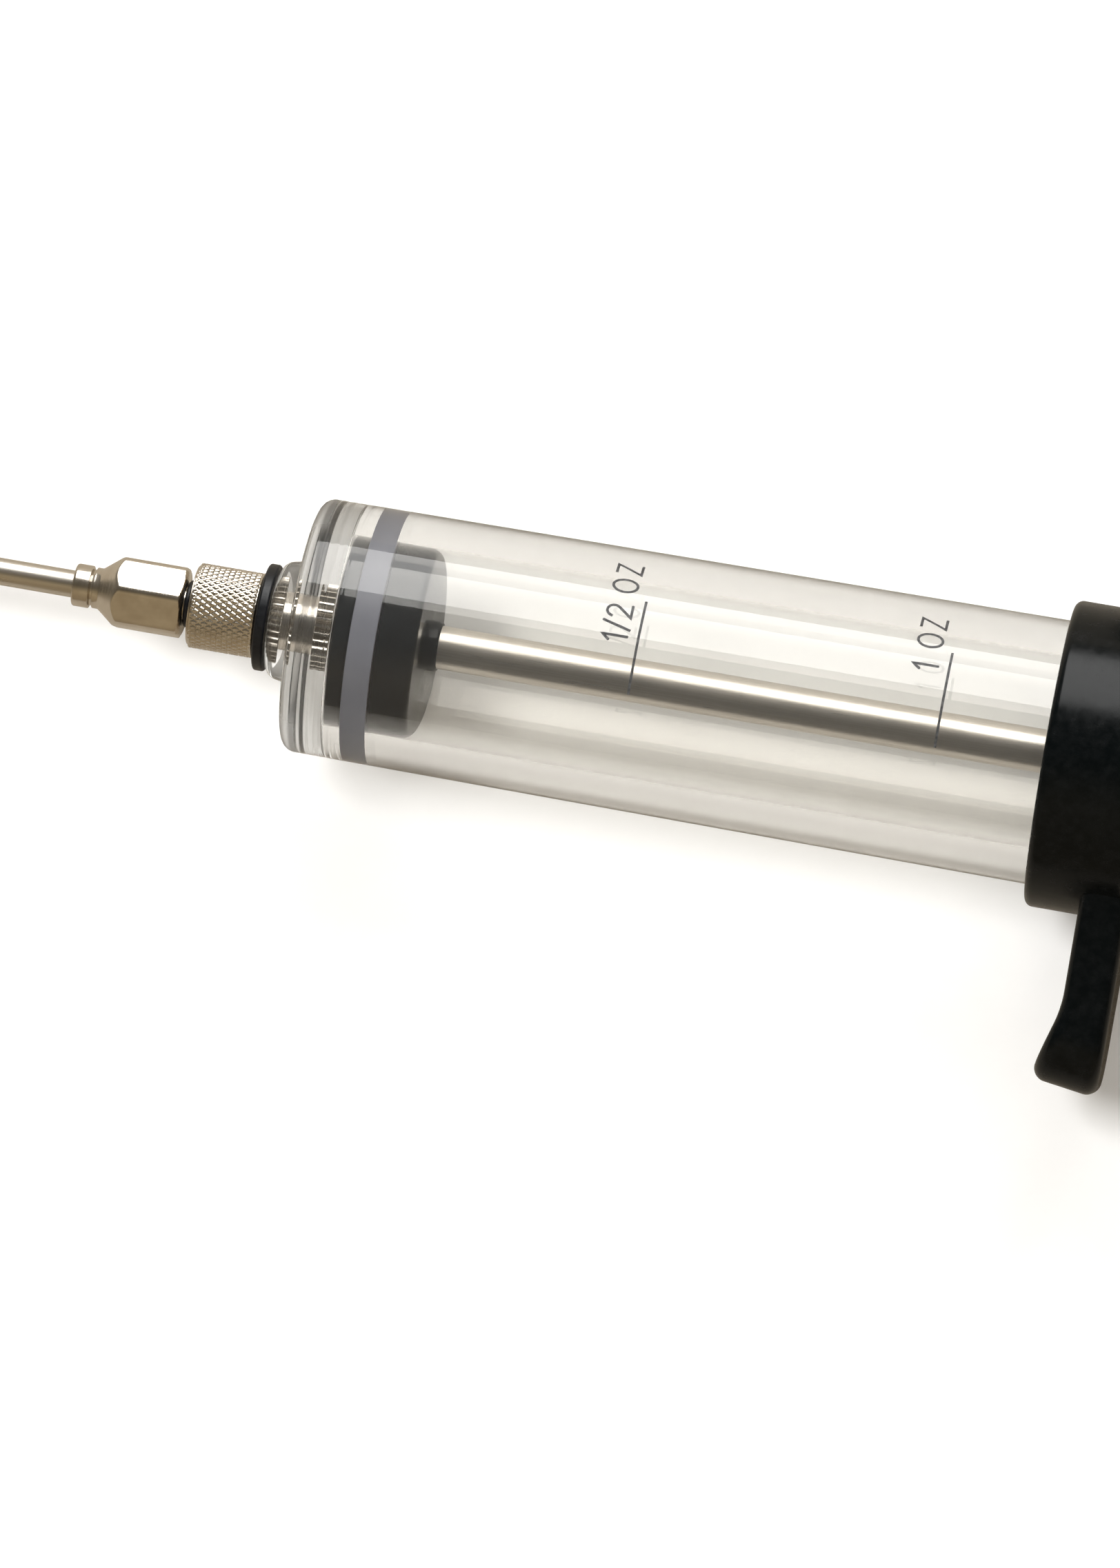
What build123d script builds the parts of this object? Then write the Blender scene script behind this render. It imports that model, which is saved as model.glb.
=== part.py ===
"""A one-ounce meat injector: a needle on a threaded hub, a knurled adaptor, a clear barrel, a
piston on a steel rod, a winged grip cap and a thumb knob.

It lies on its side on z = 0, needle towards -X, thumb knob towards +X, grip wings along Y.
Every station below is a distance along the barrel's axis, behind the barrel's front face.
"""

from build123d import *

import os
from math import cos, radians, sin

os.makedirs("parts", exist_ok=True)

# ---------------------------------------------------------------- driving dimensions, in mm

# Clear barrel
BARREL_FRONT_RADIUS = 14.92
BARREL_REAR_RADIUS = 15.48
BORE_RADIUS = 11.4
FRONT_WALL = 4.7
BARREL_PLAIN_END = 89.8
CAP_THREAD_START = 90.0
BARREL_END = 94.3
FRONT_ROUND = 2.0
BOSS_HEIGHT = 3.5
BOSS_FRONT_RADIUS = 6.7
BOSS_BASE_RADIUS = 7.4
BOSS_ROUND = 1.6
BOSS_ROOT_ROUND = 0.6
NOSE_HOLE_RADIUS = 1.9

# Threads, drawn as rings of the right pitch and depth
CAP_THREAD_CREST = 15.33
CAP_THREAD_ROOT = 14.7
CAP_THREAD_PITCH = 2.0
STUD_CREST = 1.6
STUD_ROOT = 1.3
STUD_PITCH = 0.7
HUB_THREAD_CREST = 3.0
HUB_THREAD_ROOT = 2.6
HUB_THREAD_PITCH = 1.0
ROD_THREAD_CREST = 2.5
ROD_THREAD_ROOT = 2.12
ROD_THREAD_PITCH = 0.8
SCREW_CREST = 1.48
SCREW_ROOT = 1.25
SCREW_PITCH = 0.5
THREAD_CLEARANCE = 0.08
THREAD_FLANK = 0.34  # of a pitch
THREAD_LAND = 0.12  # of a pitch

# Edges and fits
EDGE = 0.3
SMALL_EDGE = 0.15
SEAT_GAP = 0.02  # round a piece that sits still in another
RING_GAP = 0.04  # round an O-ring or a screwed piece
FACE_GAP = 0.05  # between faces that are clamped together

# Threaded insert moulded into the barrel's nose
BAND_RADIUS = 3.4
BAND_GROOVE = 0.28
INSERT_NECK_RADIUS = 2.3
INSERT_BACK = 4.2
FRONT_BAND_END = -1.7
REAR_BAND_START = 2.4
INSERT_TEETH = 30
TOOTH_HALF_GAP = 0.3
CUT_OVERRUN = 0.1

# Knurled adaptor and its washer
ADAPTOR_FRONT = -13.1
ADAPTOR_BACK = -5.0
ADAPTOR_RADIUS = 5.0
ADAPTOR_SOCKET_END = -8.6
STUD_END = 3.4
DRILL_CONE = 0.6
LIQUID_RADIUS = 0.8
WASHER_RADIUS = 6.3
WASHER_THICKNESS = 1.3

# Needle
TIP = -97.0
CANNULA_RADIUS = 1.6
CANNULA_BORE_RADIUS = 1.1
CANNULA_END = -12.6
BEVEL_ANGLE = 28
PORT_RADIUS = 0.55
PORTS = ((1, 12), (-1, 15), (1, 18), (-1, 21))  # side of the tube, and distance from its tip
HUB_NOSE = -27.3
HUB_GROOVE = -25.2
HUB_NOSE_RADIUS = 2.5
HUB_NECK_RADIUS = 2.4
HUB_GROOVE_HALF_WIDTH = 0.2
HUB_FLARE_START = -24.2
HUB_FLARE_RADIUS = 4.4
HEX_START = -21.4
HEX_CHAMFER = -14.85
HEX_END = -14.05
HEX_CHAMFER_DEPTH = 1.4
HEX_FLATS = 8.0
HEX_TURN = 5
HUB_SHANK_OVERLAP = 0.5
HUB_SHANK_RADIUS = 2.05
HUB_THREAD_START = -12.8
HUB_END = -9.0
HUB_RING_SECTION = 0.35

# Piston
PISTON_FRONT = 5.0
DISC_RADIUS = 11.28
FRONT_DISC_THICKNESS = 1.9
SEAL_GROOVE = 3.3
REAR_DISC_THICKNESS = 4.6
SEAL_RADIUS = 11.35
SEAL_SEAT_RADIUS = 8.2
SEAL_STRETCH = 0.15
SEAL_GAP = 0.1
PISTON_HUB_RADIUS = 2.95
PISTON_HUB_HEIGHT = 1.4
COUNTERSINK_RADIUS = 2.8
SCREW_HEAD_RADIUS = 2.7
SCREW_HEAD_END = 6.55
SCREW_END = 11.2
SLOT_WIDTH = 0.8
SLOT_DEPTH = 0.75

# Plunger rod
ROD_RADIUS = 2.55
ROD_SHOULDER = 12.8
SPIGOT_RADIUS = 1.8
ROD_THREAD_START = 110.5
ROD_END = 125.5
SCREW_HOLE_END = 11.4
SCREW_HOLE_POINT = 12.2
THREAD_RELIEF = 0.4

# Grip cap
CAP_RADIUS = 17.95
CAP_FRONT = 88.3
CAP_MOUTH_END = 90.2
CAP_MOUTH_RADIUS = 15.64
CAP_BORE_RADIUS = 15.45
CAP_WALL_FRONT = 96.6
CAP_BACK = 100.6
CAP_BOSS_RADIUS = 8.4
CAP_BOSS_END = 103.0
WING_FRONT = 94.9
WING_SPAN = 77.0
WING_TIP_FRONT = 92.3
WING_ROOT_HALF_WIDTH = 10.5
WING_TIP_HALF_WIDTH = 8.0
WING_ROUND = 1.6
WING_BEND = 28.8
WING_BEND_ROUND = 14
WING_TIP_ROUND = 6.5
CAP_FRONT_ROUND = 1.0
CAP_BACK_ROUND = 1.6
CAP_BOSS_DRAFT = 0.4
CAP_BOSS_ROOT_ROUND = 0.6
CAP_BOSS_ROUND = 0.8
WING_TIP_DRAFT = 1.2

# Rod guide in the cap
GUIDE_DISC_RADIUS = 14.8
GUIDE_DISC_FRONT = 94.5
GUIDE_DISC_BACK = 96.4
GUIDE_SLEEVE_RADIUS = 5.0
GUIDE_SLEEVE_END = 103.8
GUIDE_BORE_RADIUS = 2.62
GUIDE_POCKET_RADIUS = 4.05
GUIDE_POCKET_FRONT = 100.8
GUIDE_RING_SECTION = 0.68
RETAINER_THICKNESS = 1.2
RETAINER_CHAMFER = 0.4
RUNNING_GAP = 0.08

# Thumb knob and what holds it
JAM_NUT_FRONT = 112.5
JAM_NUT_THICKNESS = 2.7
JAM_NUT_FLATS = 8.0
KNOB_WASHER_THICKNESS = 0.8
KNOB_WASHER_RADIUS = 5.0
KNOB_FRONT = 116.1
KNOB_END = 130.0
KNOB_RADIUS = 16.0
KNOB_NECK_RADIUS = 7.0
KNOB_CROWN = 3.3
KNOB_INSERT_RADIUS = 3.6
KNOB_INSERT_END = 125.3
INSERT_END_GAP = 0.5
KNOB_NECK_END = 117.0
KNOB_NECK_ROUND = 1.0
KNOB_FLARE_END = 121.7
KNOB_FLARE_ROUND = 8.0
KNOB_RIM = 124.1
KNOB_RIM_DROP = 0.9
KNOB_CROWN_DROP = 1.5
NUT_CHAMFER = 0.35
WASHER_ROUND = 0.2

# ---------------------------------------------------------------- places worked out from them

AXIS_HEIGHT = CAP_RADIUS  # the cap's rim lies on the surface
FACE_X = -(TIP + KNOB_END) / 2  # the barrel's front face, with the whole length centred on x = 0
BOSS_FRONT = -BOSS_HEIGHT
WASHER_FRONT = ADAPTOR_BACK + FACE_GAP
SEAL_GROOVE_START = PISTON_FRONT + FRONT_DISC_THICKNESS
SEAL_GROOVE_END = SEAL_GROOVE_START + SEAL_GROOVE
PISTON_BACK = SEAL_GROOVE_END + REAR_DISC_THICKNESS
PISTON_HUB_END = PISTON_BACK + PISTON_HUB_HEIGHT
HEX_CORNER_RADIUS = HEX_FLATS / 2 / cos(radians(30))
HUB_RING_STATION = (HEX_END + ADAPTOR_FRONT) / 2
GUIDE_RING_STATION = GUIDE_POCKET_FRONT + GUIDE_RING_SECTION + RUNNING_GAP
GUIDE_RING_MIDDLE = ROD_RADIUS + GUIDE_RING_SECTION + RING_GAP
JAM_NUT_CORNER_RADIUS = JAM_NUT_FLATS / 2 / cos(radians(30))
JAM_NUT_BACK = JAM_NUT_FRONT + JAM_NUT_THICKNESS

FACE = (FACE_X, 0, AXIS_HEIGHT)
AXLE = Axis(FACE, (1, 0, 0))
SIDE = Plane(origin=FACE, x_dir=(1, 0, 0), z_dir=(0, -1, 0))  # x is the station, y the radius
PLAN = Plane(origin=FACE, x_dir=(1, 0, 0), z_dir=(0, 0, 1))  # x is the station, y across the wings


def section(station):
    """The plane across the axis at a station: x is across the wings, y is up."""
    return Plane(origin=(FACE_X + station, 0, AXIS_HEIGHT), x_dir=(0, 1, 0), z_dir=(1, 0, 0))


def thread(start, end, root, crest, pitch):
    """Profile points of a male thread from start to end, one ridge per pitch."""
    points = [(start, root)]
    flank = pitch * THREAD_FLANK
    land = pitch * THREAD_LAND
    ridge = start + pitch * 0.1
    while ridge + 2 * flank + land <= end:
        points.append((ridge, root))
        points.append((ridge + flank, crest))
        points.append((ridge + flank + land, crest))
        points.append((ridge + 2 * flank + land, root))
        ridge += pitch
    points.append((end, root))
    return points


def rims(part, radius):
    """A part's circular edges of one radius."""
    circles = part.edges().filter_by(GeomType.CIRCLE)
    return circles.filter_by(lambda edge: abs(edge.radius - radius) < 0.01)


# ---------------------------------------------------------------- barrel and its insert

with BuildPart() as barrel:
    with BuildSketch(SIDE):
        with BuildLine():
            Polyline(
                (BOSS_FRONT, BAND_RADIUS + SEAT_GAP),
                (BOSS_FRONT, BOSS_FRONT_RADIUS),
                (0, BOSS_BASE_RADIUS),
                (0, BARREL_FRONT_RADIUS),
                (BARREL_PLAIN_END, BARREL_REAR_RADIUS),
                *thread(
                    CAP_THREAD_START,
                    BARREL_END,
                    CAP_THREAD_ROOT,
                    CAP_THREAD_CREST,
                    CAP_THREAD_PITCH,
                ),
                (BARREL_END, BORE_RADIUS),
                (FRONT_WALL, BORE_RADIUS),
                (FRONT_WALL, NOSE_HOLE_RADIUS),
                (INSERT_BACK + SEAT_GAP, NOSE_HOLE_RADIUS),
                (INSERT_BACK + SEAT_GAP, BAND_RADIUS + SEAT_GAP),
                (REAR_BAND_START - SEAT_GAP, BAND_RADIUS + SEAT_GAP),
                (REAR_BAND_START - SEAT_GAP, INSERT_NECK_RADIUS + SEAT_GAP),
                (FRONT_BAND_END + SEAT_GAP, INSERT_NECK_RADIUS + SEAT_GAP),
                (FRONT_BAND_END + SEAT_GAP, BAND_RADIUS + SEAT_GAP),
                close=True,
            )
        make_face()
    revolve(axis=AXLE)
    fillet(rims(barrel, BARREL_FRONT_RADIUS), FRONT_ROUND)
    fillet(rims(barrel, BOSS_FRONT_RADIUS), BOSS_ROUND)
    fillet(rims(barrel, BOSS_BASE_RADIUS), BOSS_ROOT_ROUND)

with BuildPart() as threaded_insert:
    with BuildSketch(SIDE):
        with BuildLine():
            Polyline(
                (BOSS_FRONT, STUD_CREST + THREAD_CLEARANCE),
                (BOSS_FRONT, BAND_RADIUS),
                (FRONT_BAND_END, BAND_RADIUS),
                (FRONT_BAND_END, INSERT_NECK_RADIUS),
                (REAR_BAND_START, INSERT_NECK_RADIUS),
                (REAR_BAND_START, BAND_RADIUS),
                (INSERT_BACK, BAND_RADIUS),
                (INSERT_BACK, STUD_CREST + THREAD_CLEARANCE),
                close=True,
            )
        make_face()
    revolve(axis=AXLE)
    with BuildSketch(section(BOSS_FRONT)):
        with PolarLocations(BAND_RADIUS, INSERT_TEETH):
            Polygon(
                (-BAND_GROOVE, 0),
                (CUT_OVERRUN, TOOTH_HALF_GAP),
                (CUT_OVERRUN, -TOOTH_HALF_GAP),
                align=None,
            )
    extrude(amount=INSERT_BACK - BOSS_FRONT, mode=Mode.SUBTRACT)

# ---------------------------------------------------------------- adaptor and nose washer

with BuildPart() as knurled_adaptor:
    with BuildSketch(SIDE):
        with BuildLine():
            Polyline(
                (ADAPTOR_FRONT, HUB_THREAD_CREST + THREAD_CLEARANCE),
                (ADAPTOR_FRONT, ADAPTOR_RADIUS - EDGE),
                (ADAPTOR_FRONT + EDGE, ADAPTOR_RADIUS),
                (ADAPTOR_BACK - EDGE, ADAPTOR_RADIUS),
                (ADAPTOR_BACK, ADAPTOR_RADIUS - EDGE),
                *thread(ADAPTOR_BACK, STUD_END, STUD_ROOT, STUD_CREST, STUD_PITCH),
                (STUD_END, LIQUID_RADIUS),
                (ADAPTOR_SOCKET_END + DRILL_CONE, LIQUID_RADIUS),
                (ADAPTOR_SOCKET_END, HUB_THREAD_CREST + THREAD_CLEARANCE),
                close=True,
            )
        make_face()
    revolve(axis=AXLE)

with BuildPart() as nose_washer:
    with BuildSketch(SIDE):
        with BuildLine():
            Polyline(
                (WASHER_FRONT, STUD_CREST + THREAD_CLEARANCE),
                (WASHER_FRONT, WASHER_RADIUS),
                (WASHER_FRONT + WASHER_THICKNESS, WASHER_RADIUS),
                (WASHER_FRONT + WASHER_THICKNESS, STUD_CREST + THREAD_CLEARANCE),
                close=True,
            )
        make_face()
    revolve(axis=AXLE)
    fillet(rims(nose_washer, WASHER_RADIUS), EDGE)

# ---------------------------------------------------------------- needle

with BuildPart() as needle_hub:
    with BuildSketch(section(HUB_NOSE)):
        RegularPolygon(HEX_CORNER_RADIUS, 6, rotation=90 + HEX_TURN)
    extrude(amount=HEX_END - HUB_NOSE)
    with BuildSketch(SIDE):
        with BuildLine():
            Polyline(
                (HEX_START, HEX_CORNER_RADIUS),
                (HEX_CHAMFER, HEX_CORNER_RADIUS),
                (HEX_END, HEX_CORNER_RADIUS - HEX_CHAMFER_DEPTH),
                (HEX_END, 0),
                (HUB_NOSE, 0),
                (HUB_NOSE, HUB_NOSE_RADIUS - EDGE),
                (HUB_NOSE + EDGE, HUB_NOSE_RADIUS),
                (HUB_GROOVE - HUB_GROOVE_HALF_WIDTH, HUB_NOSE_RADIUS),
                (HUB_GROOVE, HUB_NECK_RADIUS - EDGE),
                (HUB_GROOVE + HUB_GROOVE_HALF_WIDTH, HUB_NECK_RADIUS - EDGE),
                (HUB_GROOVE + EDGE, HUB_NECK_RADIUS),
                (HUB_FLARE_START, HUB_NECK_RADIUS),
            )
            RadiusArc(
                (HUB_FLARE_START, HUB_NECK_RADIUS),
                (HEX_START, HEX_CORNER_RADIUS),
                -HUB_FLARE_RADIUS,
            )
        make_face()
    revolve(axis=AXLE, mode=Mode.INTERSECT)
    with BuildSketch(SIDE):
        with BuildLine():
            Polyline(
                (HEX_END - HUB_SHANK_OVERLAP, 0),
                (HEX_END - HUB_SHANK_OVERLAP, HUB_SHANK_RADIUS),
                (HUB_THREAD_START - CUT_OVERRUN, HUB_SHANK_RADIUS),
                *thread(
                    HUB_THREAD_START,
                    HUB_END,
                    HUB_THREAD_ROOT,
                    HUB_THREAD_CREST,
                    HUB_THREAD_PITCH,
                ),
                (HUB_END, 0),
                close=True,
            )
        make_face()
    revolve(axis=AXLE)
    with BuildSketch(section(HUB_NOSE)):
        Circle(CANNULA_RADIUS)
    extrude(amount=CANNULA_END - HUB_NOSE, mode=Mode.SUBTRACT)
    with BuildSketch(section(HUB_NOSE)):
        Circle(CANNULA_BORE_RADIUS)
    extrude(amount=HUB_END - HUB_NOSE, mode=Mode.SUBTRACT)

with BuildPart() as cannula:
    with BuildSketch(section(TIP)):
        Circle(CANNULA_RADIUS)
        Circle(CANNULA_BORE_RADIUS, mode=Mode.SUBTRACT)
    extrude(amount=CANNULA_END - TIP)
    bevel = Plane(
        origin=(FACE_X + TIP, 0, AXIS_HEIGHT - CANNULA_RADIUS),
        x_dir=(0, 1, 0),
        z_dir=(sin(radians(BEVEL_ANGLE)), 0, -cos(radians(BEVEL_ANGLE))),
    )
    split(bisect_by=bevel, keep=Keep.TOP)
    for side, distance in PORTS:
        port = Plane(origin=(FACE_X + TIP + distance, 0, AXIS_HEIGHT), z_dir=(0, side, 0))
        with BuildSketch(port):
            Circle(PORT_RADIUS)
        extrude(amount=2 * CANNULA_RADIUS, mode=Mode.SUBTRACT)

with BuildPart() as hub_o_ring:
    with BuildSketch(SIDE):
        with Locations((HUB_RING_STATION, HUB_SHANK_RADIUS + HUB_RING_SECTION + RING_GAP)):
            Circle(HUB_RING_SECTION)
    revolve(axis=AXLE)

# ---------------------------------------------------------------- piston

with BuildPart() as piston_front_disc:
    with BuildSketch(SIDE):
        with BuildLine():
            Polyline(
                (PISTON_FRONT, COUNTERSINK_RADIUS),
                (PISTON_FRONT, DISC_RADIUS - EDGE),
                (PISTON_FRONT + EDGE, DISC_RADIUS),
                (SEAL_GROOVE_START, DISC_RADIUS),
                (SEAL_GROOVE_START, SCREW_CREST + THREAD_CLEARANCE),
                (SEAL_GROOVE_START - EDGE, SCREW_CREST + THREAD_CLEARANCE),
                close=True,
            )
        make_face()
    revolve(axis=AXLE)

with BuildPart() as piston_seal:
    with BuildSketch(SIDE):
        with BuildLine():
            Polyline(
                (SEAL_GROOVE_START + SEAL_GAP, SEAL_SEAT_RADIUS + SEAL_STRETCH),
                (SEAL_GROOVE_START + SEAL_GAP, SEAL_RADIUS),
                (SEAL_GROOVE_END - SEAL_GAP, SEAL_RADIUS),
                (SEAL_GROOVE_END - SEAL_GAP, SEAL_SEAT_RADIUS + SEAL_STRETCH),
                close=True,
            )
        make_face()
    revolve(axis=AXLE)
    fillet(rims(piston_seal, SEAL_RADIUS), SMALL_EDGE)

with BuildPart() as piston_rear_disc:
    with BuildSketch(SIDE):
        with BuildLine():
            Polyline(
                (SEAL_GROOVE_START + FACE_GAP, SPIGOT_RADIUS + SEAT_GAP),
                (SEAL_GROOVE_START + FACE_GAP, SEAL_SEAT_RADIUS),
                (SEAL_GROOVE_END, SEAL_SEAT_RADIUS),
                (SEAL_GROOVE_END, DISC_RADIUS),
                (PISTON_BACK - EDGE, DISC_RADIUS),
                (PISTON_BACK, DISC_RADIUS - EDGE),
                (PISTON_BACK, PISTON_HUB_RADIUS + EDGE),
                (PISTON_BACK + EDGE, PISTON_HUB_RADIUS),
                (PISTON_HUB_END - SMALL_EDGE, PISTON_HUB_RADIUS),
                (PISTON_HUB_END, PISTON_HUB_RADIUS - SMALL_EDGE),
                (PISTON_HUB_END, ROD_RADIUS + SEAT_GAP),
                (ROD_SHOULDER - SEAT_GAP, ROD_RADIUS + SEAT_GAP),
                (ROD_SHOULDER - SEAT_GAP, SPIGOT_RADIUS + SEAT_GAP),
                close=True,
            )
        make_face()
    revolve(axis=AXLE)

with BuildPart() as piston_screw:
    with BuildSketch(SIDE):
        with BuildLine():
            Polyline(
                (PISTON_FRONT + FACE_GAP, 0),
                (PISTON_FRONT + FACE_GAP, SCREW_HEAD_RADIUS),
                (SCREW_HEAD_END, SCREW_ROOT),
                *thread(
                    SEAL_GROOVE_START,
                    SCREW_END,
                    SCREW_ROOT,
                    SCREW_CREST,
                    SCREW_PITCH,
                ),
                (SCREW_END, 0),
                close=True,
            )
        make_face()
    revolve(axis=AXLE)
    with BuildSketch(section(PISTON_FRONT)):
        Rectangle(SLOT_WIDTH, 2 * COUNTERSINK_RADIUS)
    extrude(amount=SLOT_DEPTH, mode=Mode.SUBTRACT)

# ---------------------------------------------------------------- plunger rod

with BuildPart() as plunger_rod:
    with BuildSketch(SIDE):
        with BuildLine():
            Polyline(
                (SEAL_GROOVE_START + FACE_GAP, SCREW_CREST + RING_GAP),
                (SEAL_GROOVE_START + FACE_GAP, SPIGOT_RADIUS),
                (ROD_SHOULDER, SPIGOT_RADIUS),
                (ROD_SHOULDER, ROD_RADIUS),
                (ROD_THREAD_START - THREAD_RELIEF, ROD_RADIUS),
                *thread(
                    ROD_THREAD_START,
                    ROD_END,
                    ROD_THREAD_ROOT,
                    ROD_THREAD_CREST,
                    ROD_THREAD_PITCH,
                ),
                (ROD_END, 0),
                (SCREW_HOLE_POINT, 0),
                (SCREW_HOLE_END, SCREW_CREST + RING_GAP),
                close=True,
            )
        make_face()
    revolve(axis=AXLE)

# ---------------------------------------------------------------- grip cap

with BuildPart() as grip_cap:
    with BuildSketch(PLAN) as wing:
        with BuildLine():
            Polyline(
                (WING_FRONT, 0),
                (WING_FRONT, WING_BEND),
                (WING_TIP_FRONT, WING_SPAN / 2 - WING_TIP_DRAFT),
                (CAP_BACK, WING_SPAN / 2),
                (CAP_BACK, 0),
                close=True,
            )
        make_face()
        fillet(wing.vertices().sort_by_distance((WING_FRONT, WING_BEND))[0], WING_BEND_ROUND)
    extrude(amount=WING_ROOT_HALF_WIDTH, both=True)
    with BuildSketch(section(WING_TIP_FRONT - CUT_OVERRUN)):
        with BuildLine():
            Polyline(
                (0, WING_ROOT_HALF_WIDTH),
                (WING_SPAN / 2 + CUT_OVERRUN, WING_TIP_HALF_WIDTH),
                (WING_SPAN / 2 + CUT_OVERRUN, -WING_TIP_HALF_WIDTH),
                (0, -WING_ROOT_HALF_WIDTH),
                close=True,
            )
        make_face()
    extrude(amount=CAP_BACK - WING_TIP_FRONT + 2 * CUT_OVERRUN, mode=Mode.INTERSECT)
    tip_face = grip_cap.faces().sort_by(Axis.Y)[-1]
    fillet(tip_face.edges().filter_by(lambda edge: abs(edge.tangent_at(0).X) > 0.9), WING_TIP_ROUND)
    fillet(grip_cap.edges().filter_by(lambda edge: edge.center().Y > 0.01), WING_ROUND)
    mirror(about=Plane.XZ)
    with BuildSketch(SIDE) as skirt:
        with BuildLine():
            Polyline(
                (CAP_FRONT, 0),
                (CAP_FRONT, CAP_RADIUS),
                (CAP_BACK, CAP_RADIUS),
                (CAP_BACK, CAP_BOSS_RADIUS),
                (CAP_BOSS_END, CAP_BOSS_RADIUS - CAP_BOSS_DRAFT),
                (CAP_BOSS_END, 0),
                close=True,
            )
        make_face()
        fillet(skirt.vertices().sort_by_distance((CAP_FRONT, CAP_RADIUS))[0], CAP_FRONT_ROUND)
        fillet(skirt.vertices().sort_by_distance((CAP_BACK, CAP_RADIUS))[0], CAP_BACK_ROUND)
        fillet(skirt.vertices().sort_by_distance((CAP_BACK, CAP_BOSS_RADIUS))[0], CAP_BOSS_ROOT_ROUND)
        fillet(skirt.vertices().sort_by_distance((CAP_BOSS_END, CAP_BOSS_RADIUS))[0], CAP_BOSS_ROUND)
    revolve(axis=AXLE)
    with BuildSketch(SIDE):
        with BuildLine():
            Polyline(
                (CAP_FRONT, 0),
                (CAP_FRONT, CAP_MOUTH_RADIUS),
                (CAP_MOUTH_END, CAP_MOUTH_RADIUS),
                (CAP_MOUTH_END, CAP_BORE_RADIUS),
                (CAP_WALL_FRONT, CAP_BORE_RADIUS),
                (CAP_WALL_FRONT, GUIDE_SLEEVE_RADIUS + RUNNING_GAP),
                (CAP_BOSS_END, GUIDE_SLEEVE_RADIUS + RUNNING_GAP),
                (CAP_BOSS_END, 0),
                close=True,
            )
        make_face()
    revolve(axis=AXLE, mode=Mode.SUBTRACT)

# ---------------------------------------------------------------- rod guide held in the cap

with BuildPart() as rod_guide:
    with BuildSketch(SIDE):
        with BuildLine():
            Polyline(
                (GUIDE_DISC_FRONT, GUIDE_BORE_RADIUS),
                (GUIDE_DISC_FRONT, GUIDE_DISC_RADIUS),
                (GUIDE_DISC_BACK, GUIDE_DISC_RADIUS),
                (GUIDE_DISC_BACK, GUIDE_SLEEVE_RADIUS),
                (GUIDE_SLEEVE_END - EDGE, GUIDE_SLEEVE_RADIUS),
                (GUIDE_SLEEVE_END, GUIDE_SLEEVE_RADIUS - EDGE),
                (GUIDE_SLEEVE_END, GUIDE_POCKET_RADIUS),
                (GUIDE_POCKET_FRONT, GUIDE_POCKET_RADIUS),
                (GUIDE_POCKET_FRONT, GUIDE_BORE_RADIUS),
                close=True,
            )
        make_face()
    revolve(axis=AXLE)

with BuildPart() as guide_o_ring:
    with BuildSketch(SIDE):
        with Locations((GUIDE_RING_STATION, GUIDE_RING_MIDDLE)):
            Circle(GUIDE_RING_SECTION)
    revolve(axis=AXLE)

with BuildPart() as o_ring_retainer:
    with BuildSketch(section(GUIDE_SLEEVE_END - RETAINER_THICKNESS)):
        Circle(GUIDE_POCKET_RADIUS - SEAT_GAP)
        Circle(GUIDE_BORE_RADIUS + FACE_GAP, mode=Mode.SUBTRACT)
    extrude(amount=RETAINER_THICKNESS)
    chamfer(rims(o_ring_retainer, GUIDE_BORE_RADIUS + FACE_GAP).sort_by(Axis.X)[-1], RETAINER_CHAMFER)

# ---------------------------------------------------------------- thumb knob and its fixings

with BuildPart() as knob_jam_nut:
    with BuildSketch(section(JAM_NUT_FRONT)):
        RegularPolygon(JAM_NUT_CORNER_RADIUS, 6)
        Circle(ROD_THREAD_CREST + RING_GAP, mode=Mode.SUBTRACT)
    extrude(amount=JAM_NUT_THICKNESS)
    with BuildSketch(SIDE):
        with BuildLine():
            Polyline(
                (JAM_NUT_FRONT, 0),
                (JAM_NUT_FRONT, JAM_NUT_FLATS / 2),
                (JAM_NUT_FRONT + NUT_CHAMFER, JAM_NUT_CORNER_RADIUS),
                (JAM_NUT_BACK - NUT_CHAMFER, JAM_NUT_CORNER_RADIUS),
                (JAM_NUT_BACK, JAM_NUT_FLATS / 2),
                (JAM_NUT_BACK, 0),
                close=True,
            )
        make_face()
    revolve(axis=AXLE, mode=Mode.INTERSECT)

with BuildPart() as knob_washer:
    with BuildSketch(section(JAM_NUT_BACK + FACE_GAP)):
        Circle(KNOB_WASHER_RADIUS)
        Circle(ROD_THREAD_CREST + SMALL_EDGE, mode=Mode.SUBTRACT)
    extrude(amount=KNOB_WASHER_THICKNESS)
    fillet(rims(knob_washer, KNOB_WASHER_RADIUS), WASHER_ROUND)

with BuildPart() as knob_insert:
    with BuildSketch(section(KNOB_FRONT)):
        Circle(KNOB_INSERT_RADIUS)
        Circle(ROD_THREAD_CREST + RING_GAP, mode=Mode.SUBTRACT)
    extrude(amount=KNOB_INSERT_END - KNOB_FRONT)
    with BuildSketch(section(KNOB_FRONT)):
        with PolarLocations(KNOB_INSERT_RADIUS, INSERT_TEETH):
            Polygon(
                (-BAND_GROOVE, 0),
                (CUT_OVERRUN, TOOTH_HALF_GAP),
                (CUT_OVERRUN, -TOOTH_HALF_GAP),
                align=None,
            )
    extrude(amount=KNOB_INSERT_END - KNOB_FRONT, mode=Mode.SUBTRACT)

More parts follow.
